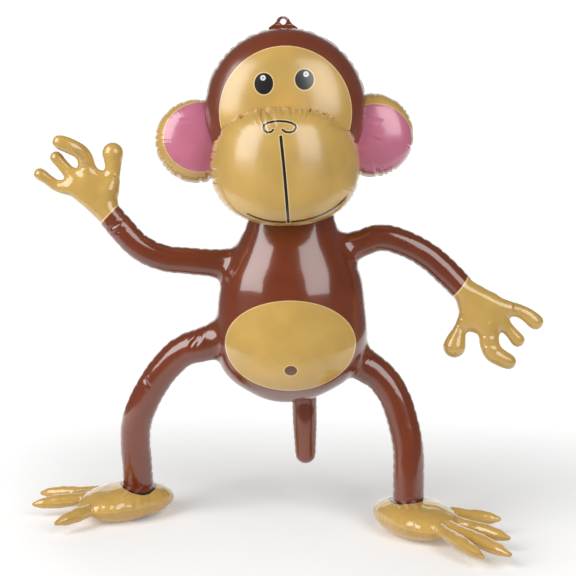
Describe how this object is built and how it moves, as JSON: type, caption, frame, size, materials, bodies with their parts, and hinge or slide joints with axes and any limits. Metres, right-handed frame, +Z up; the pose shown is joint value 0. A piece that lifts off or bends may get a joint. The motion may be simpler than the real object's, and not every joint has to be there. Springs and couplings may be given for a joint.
{
  "type": "inflatable monkey",
  "caption": "Blow-up toy monkey standing on two flat feet, arms spread, with a wide muzzle, round ears, a hanging tail and a string tab on the crown.",
  "frame": {"origin": "middle of the bounding box at the floor, under the belly", "axes": "+Z up, +X to the viewer's right, -Y the way the face and belly look"},
  "size_m": [0.672, 0.2824, 0.659],
  "materials": {
    "body_film": "glossy printed vinyl film",
    "head_film": "glossy printed vinyl film",
    "muzzle_film": "glossy printed vinyl film",
    "ear_film": "glossy printed vinyl film",
    "foot_film": "glossy printed vinyl film",
    "tab_film": "glossy vinyl film"
  },
  "bodies": {
    "root": {"body": "body_film", "head": "head_film", "muzzle": "muzzle_film", "ear_left": "ear_film", "ear_right": "ear_film", "foot_left": "foot_film", "foot_right": "foot_film", "tail": "body_film", "hanging_tab": "tab_film"}
  },
  "joints": []
}
